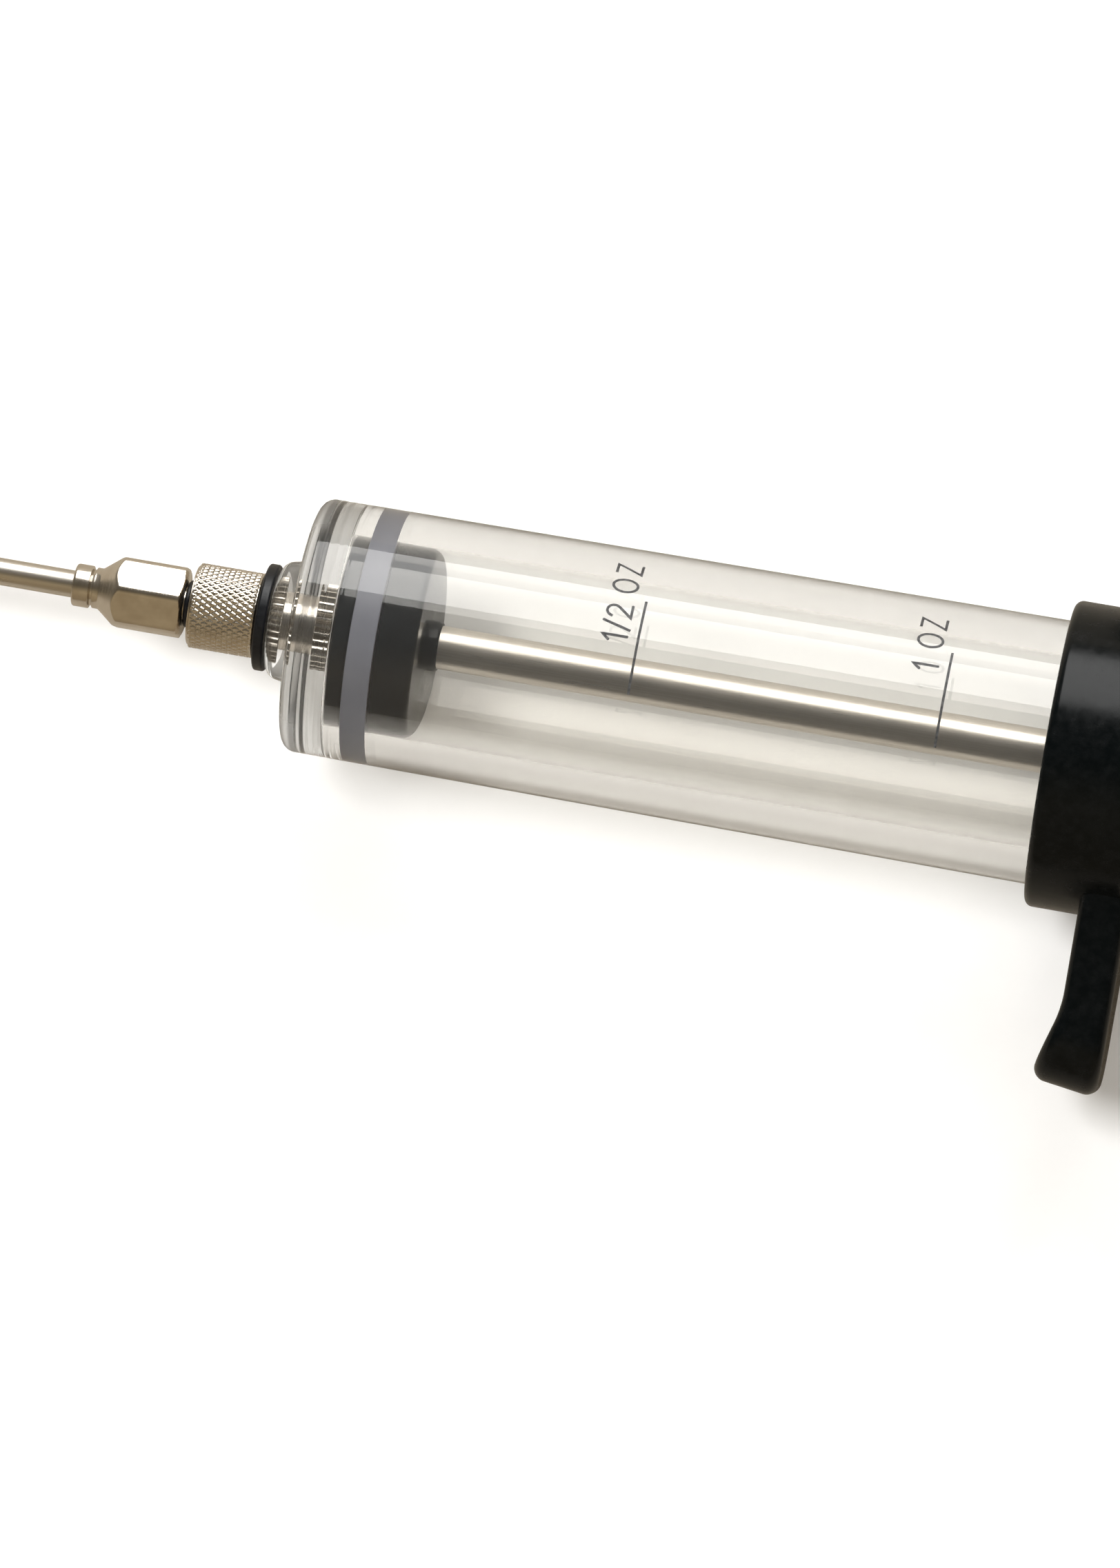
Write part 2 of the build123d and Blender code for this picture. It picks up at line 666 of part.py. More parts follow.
with BuildPart() as thumb_knob:
    neck_front = (KNOB_FRONT, KNOB_NECK_RADIUS - 2 * EDGE)
    neck_back = (KNOB_NECK_END, KNOB_NECK_RADIUS)
    flare_end = (KNOB_FLARE_END, KNOB_RADIUS - KNOB_RIM_DROP)
    rim = (KNOB_RIM, KNOB_RADIUS)
    crown_start = (KNOB_END - KNOB_CROWN, KNOB_RADIUS - KNOB_CROWN_DROP)
    crown_radius = (KNOB_CROWN**2 + crown_start[1] ** 2) / (2 * KNOB_CROWN)
    with BuildSketch(SIDE):
        with BuildLine():
            Line((KNOB_FRONT, KNOB_INSERT_RADIUS + SEAT_GAP), neck_front)
            RadiusArc(neck_front, neck_back, KNOB_NECK_ROUND)
            RadiusArc(neck_back, flare_end, -KNOB_FLARE_ROUND)
            ThreePointArc(flare_end, rim, crown_start)
            RadiusArc(crown_start, (KNOB_END, 0), crown_radius)
            Polyline(
                (KNOB_END, 0),
                (KNOB_INSERT_END + INSERT_END_GAP, 0),
                (KNOB_INSERT_END + INSERT_END_GAP, KNOB_INSERT_RADIUS + SEAT_GAP),
                (KNOB_FRONT, KNOB_INSERT_RADIUS + SEAT_GAP),
            )
        make_face()
    revolve(axis=AXLE)

# ---------------------------------------------------------------- one STEP for each piece

barrel.part.label = "barrel"
threaded_insert.part.label = "threaded_insert"
knurled_adaptor.part.label = "knurled_adaptor"
nose_washer.part.label = "nose_washer"
needle_hub.part.label = "needle_hub"
cannula.part.label = "cannula"
hub_o_ring.part.label = "hub_o_ring"
piston_front_disc.part.label = "piston_front_disc"
piston_seal.part.label = "piston_seal"
piston_rear_disc.part.label = "piston_rear_disc"
piston_screw.part.label = "piston_screw"
plunger_rod.part.label = "plunger_rod"
grip_cap.part.label = "grip_cap"
rod_guide.part.label = "rod_guide"
guide_o_ring.part.label = "guide_o_ring"
o_ring_retainer.part.label = "o_ring_retainer"
knob_jam_nut.part.label = "knob_jam_nut"
knob_washer.part.label = "knob_washer"
knob_insert.part.label = "knob_insert"
thumb_knob.part.label = "thumb_knob"

export_step(barrel.part, "parts/barrel.step")
export_step(threaded_insert.part, "parts/threaded_insert.step")
export_step(knurled_adaptor.part, "parts/knurled_adaptor.step")
export_step(nose_washer.part, "parts/nose_washer.step")
export_step(needle_hub.part, "parts/needle_hub.step")
export_step(cannula.part, "parts/cannula.step")
export_step(hub_o_ring.part, "parts/hub_o_ring.step")
export_step(piston_front_disc.part, "parts/piston_front_disc.step")
export_step(piston_seal.part, "parts/piston_seal.step")
export_step(piston_rear_disc.part, "parts/piston_rear_disc.step")
export_step(piston_screw.part, "parts/piston_screw.step")
export_step(plunger_rod.part, "parts/plunger_rod.step")
export_step(grip_cap.part, "parts/grip_cap.step")
export_step(rod_guide.part, "parts/rod_guide.step")
export_step(guide_o_ring.part, "parts/guide_o_ring.step")
export_step(o_ring_retainer.part, "parts/o_ring_retainer.step")
export_step(knob_jam_nut.part, "parts/knob_jam_nut.step")
export_step(knob_washer.part, "parts/knob_washer.step")
export_step(knob_insert.part, "parts/knob_insert.step")
export_step(thumb_knob.part, "parts/thumb_knob.step")
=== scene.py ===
"""The looks of a meat injector lying on a pale table: a clear graduated barrel with a black piston
on a steel rod, a nickel-plated needle hub and knurled adaptor, and a black cap with finger wings.

Distances along the injector are stations in millimetres behind the barrel's front face, as in the
CAD model. Radii are in millimetres from the axle.
"""

from collections import namedtuple
from math import atan2, cos, floor, pi, radians, sin, sqrt, tan, tau

import bmesh
import bpy
from mathutils import Matrix, Vector


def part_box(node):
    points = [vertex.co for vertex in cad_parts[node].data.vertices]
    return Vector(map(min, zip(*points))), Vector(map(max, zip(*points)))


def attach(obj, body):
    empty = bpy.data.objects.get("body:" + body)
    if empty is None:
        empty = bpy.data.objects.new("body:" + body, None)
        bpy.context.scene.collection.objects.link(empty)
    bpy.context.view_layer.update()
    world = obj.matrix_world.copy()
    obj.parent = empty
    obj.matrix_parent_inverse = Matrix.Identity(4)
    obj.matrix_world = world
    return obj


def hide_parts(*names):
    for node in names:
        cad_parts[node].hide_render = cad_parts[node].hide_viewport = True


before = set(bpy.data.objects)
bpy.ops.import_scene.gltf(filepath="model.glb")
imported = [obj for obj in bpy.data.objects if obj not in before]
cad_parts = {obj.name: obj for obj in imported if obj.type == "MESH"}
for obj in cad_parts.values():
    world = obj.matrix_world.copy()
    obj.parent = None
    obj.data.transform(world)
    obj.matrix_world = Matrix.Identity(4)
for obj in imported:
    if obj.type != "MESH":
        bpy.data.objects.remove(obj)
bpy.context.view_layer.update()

# ---------------------------------------------------------------- places read from the frame

MM = 0.001
BOSS_HEIGHT = 3.5
BARREL_LOW, BARREL_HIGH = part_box("barrel")
ROD_LOW, ROD_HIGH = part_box("plunger_rod")
FACE_X = BARREL_LOW.x + BOSS_HEIGHT * MM  # the barrel's front face
AXLE_Z = (ROD_LOW.z + ROD_HIGH.z) / 2

# ---------------------------------------------------------------- the injector, in millimetres

# Clear barrel
FRONT_RADIUS = 14.92
REAR_RADIUS = (BARREL_HIGH.z - BARREL_LOW.z) / 2 / MM
FRONT_ROUND = 1.5
PLAIN_END = 89.8
BARREL_END = 94.3
BORE_RADIUS = 11.4
FRONT_WALL = 4.7
BOSS_RADIUS = 6.7
BOSS_ROUND = 1.6
BOSS_ROOT_RADIUS = 7.4
BOSS_ROOT_ROUND = 0.6
NOSE_HOLE = 2.0  # the plastic's hole, which is inside the insert's metal
STUD_HOLE = 1.9
RIPPLE = 0.012  # half the depth of the moulding ripples near the front
RIPPLE_START = 1.0
RIPPLE_END = 6.0
RIPPLE_PITCH = 1.1

# Threads. Roots and crests are radii.
Thread = namedtuple("Thread", "start end pitch root crest")
CAP_THREAD = Thread(90.0, 94.0, 2.0, 14.7, 15.33)
STUD_THREAD = Thread(-3.4, 3.4, 0.7, 1.3, 1.6)
HUB_THREAD = Thread(-12.8, -9.0, 1.0, 2.6, 3.0)
ROD_THREAD = Thread(110.5, 125.5, 0.8, 2.12, 2.5)

# Threads, teeth and the knurl are shaped from a triangle wave between 0 and 1, which is made
# steeper, lowered, and cut off flat at 0 and 1.
STEEPNESS = 1.5
THREAD_DROP = 0.2
TOOTH_DROP = 0.35
KNURL_DROP = 0.5

# Distance between the rows of points on a thread, a knurl or a ripple
ROW = 0.08
CAP_ROW = 0.1
STUD_ROW = 0.07

# Insert in the nose
INSERT_RADIUS = 3.4
INSERT_HOLE = 1.68
INSERT_NECK = 2.3
INSERT_NECK_START = -1.7
INSERT_NECK_END = 2.4
INSERT_END = 4.2
INSERT_TEETH = 30
TOOTH_DEPTH = 0.32
TOOTH_STEPS = 10

# Knurled adaptor
ADAPTOR_FRONT = -13.1
ADAPTOR_BACK = -5.0
ADAPTOR_RADIUS = 5.0
ADAPTOR_CHAMFER = 0.3
ADAPTOR_SOCKET = 3.08
ADAPTOR_SOCKET_END = -8.6
ADAPTOR_HOLE = 0.8
ADAPTOR_HOLE_START = -8.0
KNURL_TEETH = 44
KNURL_STEPS = 8
KNURL_PITCH = 0.62
KNURL_DEPTH = 0.16

# Needle hub
HUB_NOSE = -27.3
HUB_NOSE_RADIUS = 2.5
HUB_HOLE = 1.55
GROOVE = -25.2
GROOVE_DEPTH = 0.3
FLARE = -24.2
FLARE_STEPS = 24
FLARE_POWER = 1.02  # 1 would be a plain cone
NECK_RADIUS = 2.4
SHANK_RADIUS = 2.05
HEXAGON = -21.4
HEXAGON_END = -14.05
HEX_FLATS = 8.0
HEX_CORNER = HEX_FLATS / 2 / cos(radians(30))
HEX_TURN = radians(5)
HEX_ROUND = 1.2
HEX_STEPS = 360
EDGE_BLEND = 0.1

# Piston
FRONT_DISC = 5.0
FRONT_DISC_END = 6.9
DISC_RADIUS = 11.28
DISC_ROUND = 0.12
SCREW_HOLE = 1.56
SEAT = 6.95
SEAT_END = 10.2
SEAT_RADIUS = 8.2
REAR_DISC_END = 14.8
REAR_HUB_END = 16.2
REAR_HUB_RADIUS = 2.95
ROD_SOCKET = 2.57
SPIGOT_HOLE = 1.82
SEAL = 7.0
SEAL_END = 10.1
SEAL_HOLE = 8.35
SEAL_ROUND = 0.12
SEAL_BITE = 0.02  # the seal wets the bore

# Rod, jam nut and knob
ROD_RADIUS = 2.55
SPIGOT_RADIUS = 1.8
SPIGOT_END = 12.8
NUT_FRONT = 112.5
NUT_BACK = 115.2
NUT_HOLE = 2.45
NUT_FLATS = 8.0
NUT_CORNER = NUT_FLATS / 2 / cos(radians(30))
NUT_ROUND = 0.3
KNOB_FRONT = 116.1
KNOB_END = 130.0
KNOB_RADIUS = 16.0
KNOB_NECK = 7.0
KNOB_HOLE = 3.62
KNOB_HOLE_END = 125.8

# Volume marks: the lines' stations, where they start and end round the barrel, and the middle
# of each letter. Places round the barrel are in degrees from its top.
HALF_OUNCE = 40.2
HALF_OUNCE_LETTERS = (("1", 16.6), ("/", 22.5), ("2", 29.5), ("O", 43.6), ("Z", 55.2))
ONE_OUNCE = 75.9
ONE_OUNCE_LETTERS = (("1", 27.4), ("O", 41.4), ("Z", 52.6))
LINE_FROM = -6.5
LINE_TO = 36
LINE_WIDTH = 0.3
LETTER_HEIGHT = 2.85
STROKE_WIDTH = 0.32
STROKE_STEP = 0.4
LETTER_GAP = 1.35
INK_THICKNESS = 0.02

# Haze in the clear plastic round the barrel's front edge: its roughness, the stations where it
# comes and goes, and the heights above the axle where it ends
HAZE = 0.3
HAZE_COMES = (-0.3, -0.1)
HAZE_GOES = (1.9, 2.4)
HAZE_TOP = (9, 11.5)

# Steps round a turned piece, and round a corner of an outline
TURN_STEPS = 192
ROUND_STEPS = 6

# ---------------------------------------------------------------- camera, light and stage, in metres

CAMERA_PLACE = Vector((0.1219, -0.0135, AXLE_Z + 1.109))
CAMERA_AIM = Vector((0.0163, -0.0133, AXLE_Z))
CAMERA_ROLL = radians(9.9)
CAMERA_LENS = 220
LAMP_AIM = Vector((0.02, 0, 0.02))
ROOM_COLOURS = (  # from the -Y side, at 0, to the +Y side, at 1
    (0.0, (0.26, 0.20, 0.125)),
    (0.2, (0.36, 0.285, 0.18)),
    (0.45, (0.105, 0.089, 0.064)),
    (0.6, (0.11, 0.097, 0.078)),
    (1.0, (0.24, 0.22, 0.19)),
)
TABLE_REACH = 4.0
TABLE_TOP = -0.0002
DOME_RADIUS = 3.5
DOME_DROP = 0.1
DOME_AROUND = 48
DOME_UP = 12


# ---------------------------------------------------------------- meshes


def place(station, radius, angle):
    """A point in metres. The angle is about the axle, from straight up towards +Y."""
    return (
        FACE_X + station * MM,
        radius * MM * sin(angle),
        AXLE_Z + radius * MM * cos(angle),
    )


def make_piece(name, vertices, faces, body, slot, material, sharp=30):
    """A mesh object that rides on a body, smooth except across edges sharper than this."""
    mesh = bpy.data.meshes.new(name)
    mesh.from_pydata(vertices, [], faces)
    shape = bmesh.new()
    shape.from_mesh(mesh)
    bmesh.ops.recalc_face_normals(shape, faces=shape.faces)
    shape.to_mesh(mesh)
    shape.free()
    mesh.shade_smooth()
    mesh.set_sharp_from_angle(angle=radians(sharp))
    mesh.materials.append(material)
    piece = bpy.data.objects.new(name, mesh)
    bpy.context.scene.collection.objects.link(piece)
    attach(piece, body)
    return piece


def rounded(points):
    """An outline with round corners. A point is (station, radius) or (station, radius, round)."""
    outline = []
    for i, point in enumerate(points):
        corner = Vector(point[:2])
        if len(point) == 2:
            outline.append(tuple(corner))
            continue
        back = (Vector(points[i - 1][:2]) - corner).normalized()
        ahead = (Vector(points[(i + 1) % len(points)][:2]) - corner).normalized()
        half = back.angle(ahead) / 2
        centre = corner + (back + ahead).normalized() * point[2] / sin(half)
        first = corner + back * point[2] / tan(half) - centre
        last = corner + ahead * point[2] / tan(half) - centre
        for step in range(ROUND_STEPS + 1):
            spoke = first.lerp(last, step / ROUND_STEPS).normalized() * point[2]
            outline.append(tuple(centre + spoke))
    return outline


def run(start, end, radius, step, end_radius=None):
    """Evenly spaced outline points from start to end."""
    count = max(1, round(abs(end - start) / step))
    last = radius if end_radius is None else end_radius
    return [
        (start + (end - start) * i / count, radius + (last - radius) * i / count)
        for i in range(count + 1)
    ]


def turned(outline, wave=None, steps=TURN_STEPS, closed=True):
    """Vertices and faces of an outline turned about the axle. The wave gives a point's radius from
    its station, radius and angle. An open outline starts and ends on the axle."""
    vertices = []
    rings = []
    for station, radius in outline:
        if radius < 1e-6:
            rings.append([len(vertices)] * steps)
            vertices.append(place(station, 0, 0))
            continue
        rings.append(list(range(len(vertices), len(vertices) + steps)))
        for i in range(steps):
            angle = tau * i / steps
            height = wave(station, radius, angle) if wave else radius
            vertices.append(place(station, height, angle))
    faces = []
    pairs = zip(rings, rings[1:] + rings[:1]) if closed else zip(rings, rings[1:])
    for near, far in pairs:
        for i in range(steps):
            j = (i + 1) % steps
            corners = [near[i], near[j], far[j], far[i]]
            face = [c for n, c in enumerate(corners) if c != corners[n - 1]]
            if len(face) > 2:
                faces.append(face)
    return vertices, faces


def saw(value):
    """A triangle wave with a period of 1: 0 at whole numbers and 1 halfway between them."""
    return 1 - abs(2 * (value - floor(value)) - 1)


def clamp(value):
    """The value, kept between 0 and 1."""
    return min(1.0, max(0.0, value))


def cut(value, drop):
    """A wave made steeper and lowered, then cut off flat at 0 and 1."""
    return clamp(STEEPNESS * value - drop)


def helix(thread, station, angle):
    """A right-hand thread's radius. It fades out over its first and last half turn."""
    before = (station - thread.start) / thread.pitch
    after = (thread.end - station) / thread.pitch
    ridge = cut(saw(before + angle / tau), THREAD_DROP)
    fade = clamp(before * 2) * clamp(after * 2)
    return thread.root + (thread.crest - thread.root) * ridge * fade


def on_thread(thread, station, radius):
    """Whether a point of an outline belongs to this thread."""
    return thread.start <= station <= thread.end and radius > thread.root - 0.01


def flats(across, angle, turn, edge):
    """The radius of a hexagon with round edges. Its first edge is at the turn angle."""
    side = tau / 6
    from_edge = (angle - turn + side / 2) % side - side / 2
    centre = (across / 2 - edge) / cos(side / 2)
    if abs(from_edge) < atan2(edge * sin(side / 2), centre + edge * cos(side / 2)):
        return centre * cos(from_edge) + sqrt(edge**2 - (centre * sin(from_edge)) ** 2)
    return across / 2 / cos(side / 2 - abs(from_edge))


def softer_least(a, b, blend):
    """The lesser of two radii, with a rounded edge where they cross."""
    gap = clamp(0.5 + (b - a) / (2 * blend))
    return b + (a - b) * gap - blend * gap * (1 - gap)


# ---------------------------------------------------------------- materials


def start_material(name, **sockets):
    """A material with a Principled shader whose sockets are set by name."""
    material = bpy.data.materials.new(name)
    material.use_nodes = True
    shader = material.node_tree.nodes["Principled BSDF"]
    for socket, value in sockets.items():
        shader.inputs[socket.replace("_", " ")].default_value = value
    return material, shader


def noise(material, scale, stretch=(1, 1, 1), detail=4, rough=0.5):
    """A noise texture in the object's own metres, as a grey socket."""
    nodes, links = material.node_tree.nodes, material.node_tree.links
    places = nodes.new("ShaderNodeTexCoord")
    mapping = nodes.new("ShaderNodeMapping")
    mapping.inputs["Scale"].default_value = stretch
    texture = nodes.new("ShaderNodeTexNoise")
    texture.inputs["Scale"].default_value = scale
    texture.inputs["Detail"].default_value = detail
    texture.inputs["Roughness"].default_value = rough
    links.new(places.outputs["Object"], mapping.inputs["Vector"])
    links.new(mapping.outputs["Vector"], texture.inputs["Vector"])
    return texture.outputs["Fac"]


def spread(material, socket, low, high, start=0.3, end=0.7):
    """Maps a grey socket's start..end to low..high."""
    node = material.node_tree.nodes.new("ShaderNodeMapRange")
    node.inputs["From Min"].default_value = start
    node.inputs["From Max"].default_value = end
    node.inputs["To Min"].default_value = low
    node.inputs["To Max"].default_value = high
    material.node_tree.links.new(socket, node.inputs["Value"])
    return node.outputs["Result"]


def times(material, first, second):
    """The product of two grey sockets."""
    node = material.node_tree.nodes.new("ShaderNodeMath")
    node.operation = "MULTIPLY"
    material.node_tree.links.new(first, node.inputs[0])
    material.node_tree.links.new(second, node.inputs[1])
    return node.outputs[0]


def blend_colours(material, socket, first, second):
    """Two colours mixed by a grey socket."""
    node = material.node_tree.nodes.new("ShaderNodeMix")
    node.data_type = "RGBA"
    colours = [s for s in node.inputs if s.type == "RGBA"]
    colours[0].default_value = (*first, 1)
    colours[1].default_value = (*second, 1)
    material.node_tree.links.new(socket, node.inputs["Factor"])
    return [s for s in node.outputs if s.type == "RGBA"][0]


def add_bump(material, shader, socket, height, strength=1.0):
    """Bump from a grey socket, with its height in metres."""
    node = material.node_tree.nodes.new("ShaderNodeBump")
    node.inputs["Strength"].default_value = strength
    node.inputs["Distance"].default_value = height
    material.node_tree.links.new(socket, node.inputs["Height"])
    material.node_tree.links.new(node.outputs["Normal"], shader.inputs["Normal"])


def drive(material, shader, socket_name, socket):
    """Feeds one of the shader's sockets."""
    material.node_tree.links.new(socket, shader.inputs[socket_name])


def paint(material, shader, socket, first, second):
    """Gives the shader two colours mixed by a grey socket."""
    drive(material, shader, "Base Color", blend_colours(material, socket, first, second))


def mix_shaders(material, share, first, second):
    """Gives the surface two shaders mixed by a grey socket."""
    nodes, links = material.node_tree.nodes, material.node_tree.links
    either = nodes.new("ShaderNodeMixShader")
    links.new(share, either.inputs[0])
    links.new(first, either.inputs[1])
    links.new(second, either.inputs[2])
    links.new(either.outputs[0], nodes["Material Output"].inputs["Surface"])


def front_haze(material):
    """Extra roughness round the barrel's front edge, below its top, as a grey socket."""
    nodes, links = material.node_tree.nodes, material.node_tree.links
    places = nodes.new("ShaderNodeTexCoord")
    parts = nodes.new("ShaderNodeSeparateXYZ")
    links.new(places.outputs["Object"], parts.inputs[0])
    along, up = parts.outputs["X"], parts.outputs["Z"]
    comes = spread(material, along, 0, HAZE, *(FACE_X + station * MM for station in HAZE_COMES))
    goes = spread(material, along, 1, 0, *(FACE_X + station * MM for station in HAZE_GOES))
    below = spread(material, up, 1, 0, *(AXLE_Z + height * MM for height in HAZE_TOP))
    return times(material, times(material, comes, goes), below)


def clear_acrylic():
    """Clear plastic with a faint warm tint, fine handling scratches and a haze round its front
    edge. Lamps shine through it, less so where their light grazes it."""
    material, shader = start_material(
        "clear_acrylic", Transmission_Weight=0.993, IOR=1.49, Specular_IOR_Level=0.22
    )
    tint = spread(material, noise(material, 60), 0, 1)
    paint(material, shader, tint, (0.81, 0.80, 0.775), (0.795, 0.785, 0.76))
    wear = noise(material, 900, stretch=(0.15, 1, 1), detail=6, rough=0.7)
    nodes, links = material.node_tree.nodes, material.node_tree.links
    total = nodes.new("ShaderNodeMath")
    links.new(spread(material, wear, 0.0, 0.05, 0.45, 0.8), total.inputs[0])
    links.new(front_haze(material), total.inputs[1])
    drive(material, shader, "Roughness", total.outputs[0])
    add_bump(material, shader, noise(material, 180, detail=2), 0.00004, 0.15)
    graze = nodes.new("ShaderNodeLayerWeight")
    graze.inputs["Blend"].default_value = 0.5
    dimmed = spread(material, graze.outputs["Facing"], 0, 1, 0.1, 0.8)
    shade = nodes.new("ShaderNodeBsdfTransparent")
    passed = blend_colours(material, dimmed, (0.983, 0.981, 0.975), (0.52, 0.52, 0.515))
    links.new(passed, shade.inputs["Color"])
    path = nodes.new("ShaderNodeLightPath")
    mix_shaders(material, path.outputs["Is Shadow Ray"], shader.outputs["BSDF"], shade.outputs["BSDF"])
    return material


def nickel_plate(name, smoothest, roughest, shade=1.0):
    """Nickel plating over turned brass: a warm white metal with fine tool lines and rubbed patches.
    A shade below 1 darkens its colours: painted shade."""
    material, shader = start_material(name, Metallic=1.0)
    patches = noise(material, 500, detail=5)
    bright = [shade * part for part in (0.82, 0.77, 0.69)]
    rubbed = [shade * part for part in (0.68, 0.62, 0.54)]
    paint(material, shader, spread(material, patches, 0, 1), bright, rubbed)
    lines = noise(material, 1.0, stretch=(9000, 250, 250), detail=3)
    drive(material, shader, "Roughness", spread(material, lines, smoothest, roughest))
    add_bump(material, shader, lines, 0.000006, 0.35)
    return material


def drawn_steel():
    """Drawn stainless steel: bright, with fine lines along its length."""
    material, shader = start_material("drawn_steel", Metallic=1.0)
    streaks = noise(material, 1.0, stretch=(90, 7000, 7000), detail=4, rough=0.6)
    paint(material, shader, spread(material, streaks, 0, 1), (0.80, 0.76, 0.70), (0.66, 0.61, 0.54))
    drive(material, shader, "Roughness", spread(material, streaks, 0.26, 0.4))
    add_bump(material, shader, streaks, 0.000004, 0.3)
    return material


def black_rubber():
    """Matt black rubber with a fine bloom."""
    material, shader = start_material("black_rubber", Specular_IOR_Level=0.4)
    bloom = noise(material, 2500, detail=5)
    paint(material, shader, spread(material, bloom, 0, 1), (0.003, 0.0035, 0.005), (0.008, 0.009, 0.011))
    drive(material, shader, "Roughness", spread(material, bloom, 0.3, 0.45))
    add_bump(material, shader, bloom, 0.00002, 0.4)
    return material


def piston_black():
    """Glossy black acetal with faint turning rings."""
    material, shader = start_material("piston_black", Specular_IOR_Level=0.26)
    rings = noise(material, 1.0, stretch=(6000, 30, 30), detail=3)
    haze = noise(material, 350, detail=4)
    paint(material, shader, spread(material, haze, 0, 1), (0.0015, 0.0022, 0.003), (0.004, 0.0055, 0.007))
    drive(material, shader, "Roughness", spread(material, haze, 0.12, 0.24))
    add_bump(material, shader, rings, 0.000006, 0.25)
    return material


def clear_silicone():
    """Cloudy, slightly blue silicone rubber. What is behind it shows through, blurred."""
    material, shader = start_material("clear_silicone", Transmission_Weight=0.65, IOR=1.41)
    cloud = noise(material, 400, detail=4)
    paint(material, shader, spread(material, cloud, 0, 1), (0.27, 0.275, 0.315), (0.29, 0.295, 0.335))
    drive(material, shader, "Roughness", spread(material, cloud, 0.28, 0.33))
    add_bump(material, shader, noise(material, 1500), 0.000004, 0.1)
    return material


def black_moulding():
    """Glossy moulded black plastic: a slight ripple, with fine dust and handling marks."""
    material, shader = start_material("black_moulding", Specular_IOR_Level=0.2)
    marks = noise(material, 700, detail=6, rough=0.65)
    shares = spread(material, marks, 0, 1, 0.4, 0.75)
    paint(material, shader, shares, (0.0012, 0.0022, 0.0026), (0.0045, 0.0055, 0.006))
    drive(material, shader, "Roughness", spread(material, marks, 0.17, 0.30))
    add_bump(material, shader, noise(material, 260, detail=2), 0.00003, 0.18)
    return material


def white_nylon():
    """Natural nylon: milky, with a soft sheen."""
    material, shader = start_material(
        "white_nylon", Subsurface_Weight=0.3, Subsurface_Scale=0.001,
        Subsurface_Radius=(1.0, 0.9, 0.7),
    )
    grain = noise(material, 1200, detail=4)
    paint(material, shader, spread(material, grain, 0, 1), (0.78, 0.76, 0.69), (0.70, 0.68, 0.60))
    drive(material, shader, "Roughness", spread(material, grain, 0.38, 0.52))
    add_bump(material, shader, grain, 0.00001, 0.3)
    return material


def turned_brass():
    """Turned brass with fine tool lines."""
    material, shader = start_material("turned_brass", Metallic=1.0)
    lines = noise(material, 1.0, stretch=(8000, 200, 200), detail=3)
    paint(material, shader, spread(material, lines, 0, 1), (0.75, 0.52, 0.22), (0.58, 0.38, 0.15))
    drive(material, shader, "Roughness", spread(material, lines, 0.2, 0.36))
    add_bump(material, shader, lines, 0.000006, 0.3)
    return material


def printing_ink():
    """Black screen-printing ink, a little uneven."""
    material, shader = start_material("printing_ink", Specular_IOR_Level=0.3)
    cover = noise(material, 3500, detail=4)
    shares = spread(material, cover, 0, 1, 0.35, 0.75)
    paint(material, shader, shares, (0.025, 0.025, 0.027), (0.13, 0.13, 0.13))
    drive(material, shader, "Roughness", spread(material, cover, 0.4, 0.6))
    return material


def table_paper():
    """A white paper sweep that glows a little, as one lit from all round does. Where it is mirrored
    it turns to a dusky brown, painted shade for far paper that gets less light; less so inside the clear
    plastic."""
    material, shader = start_material(
        "table_paper", Specular_IOR_Level=0.0, Emission_Color=(1, 1, 1, 1), Emission_Strength=0.12
    )
    fibre = noise(material, 300, detail=4)
    paint(material, shader, spread(material, fibre, 0, 1), (0.86, 0.86, 0.855), (0.88, 0.88, 0.875))
    drive(material, shader, "Roughness", spread(material, fibre, 0.8, 0.95))
    nodes = material.node_tree.nodes
    # Paper seen in a mirror turns dusky brown: painted shade for far paper that gets less light
    far_paper_shade = nodes.new("ShaderNodeBsdfDiffuse")
    far_paper_shade.inputs["Color"].default_value = (0.36, 0.32, 0.26, 1)
    path = nodes.new("ShaderNodeLightPath")
    mirrored = spread(material, path.outputs["Glossy Depth"], 0, 1, 0, 1)
    in_plastic = spread(material, path.outputs["Transmission Depth"], 1, 0.26, 0, 1)
    dimmed = times(material, mirrored, in_plastic)
    mix_shaders(material, dimmed, shader.outputs["BSDF"], far_paper_shade.outputs["BSDF"])
    return material


ACRYLIC = clear_acrylic()
NICKEL = nickel_plate("nickel_plate", 0.17, 0.29)
# A darkened copy of the nickel for the insert: painted shade for the metal inside the clear nose
SHADED_NICKEL = nickel_plate("shaded_nickel", 0.17, 0.29, 0.88)
SATIN_NICKEL = nickel_plate("satin_nickel", 0.16, 0.26)
STEEL = drawn_steel()
RUBBER = black_rubber()
PISTON = piston_black()
SILICONE = clear_silicone()
MOULDING = black_moulding()
NYLON = white_nylon()
BRASS = turned_brass()
INK = printing_ink()


# ---------------------------------------------------------------- barrel


def barrel_radius(station):
    """The barrel's outside, which widens slightly towards the cap."""
    return FRONT_RADIUS + (REAR_RADIUS - FRONT_RADIUS) * station / PLAIN_END


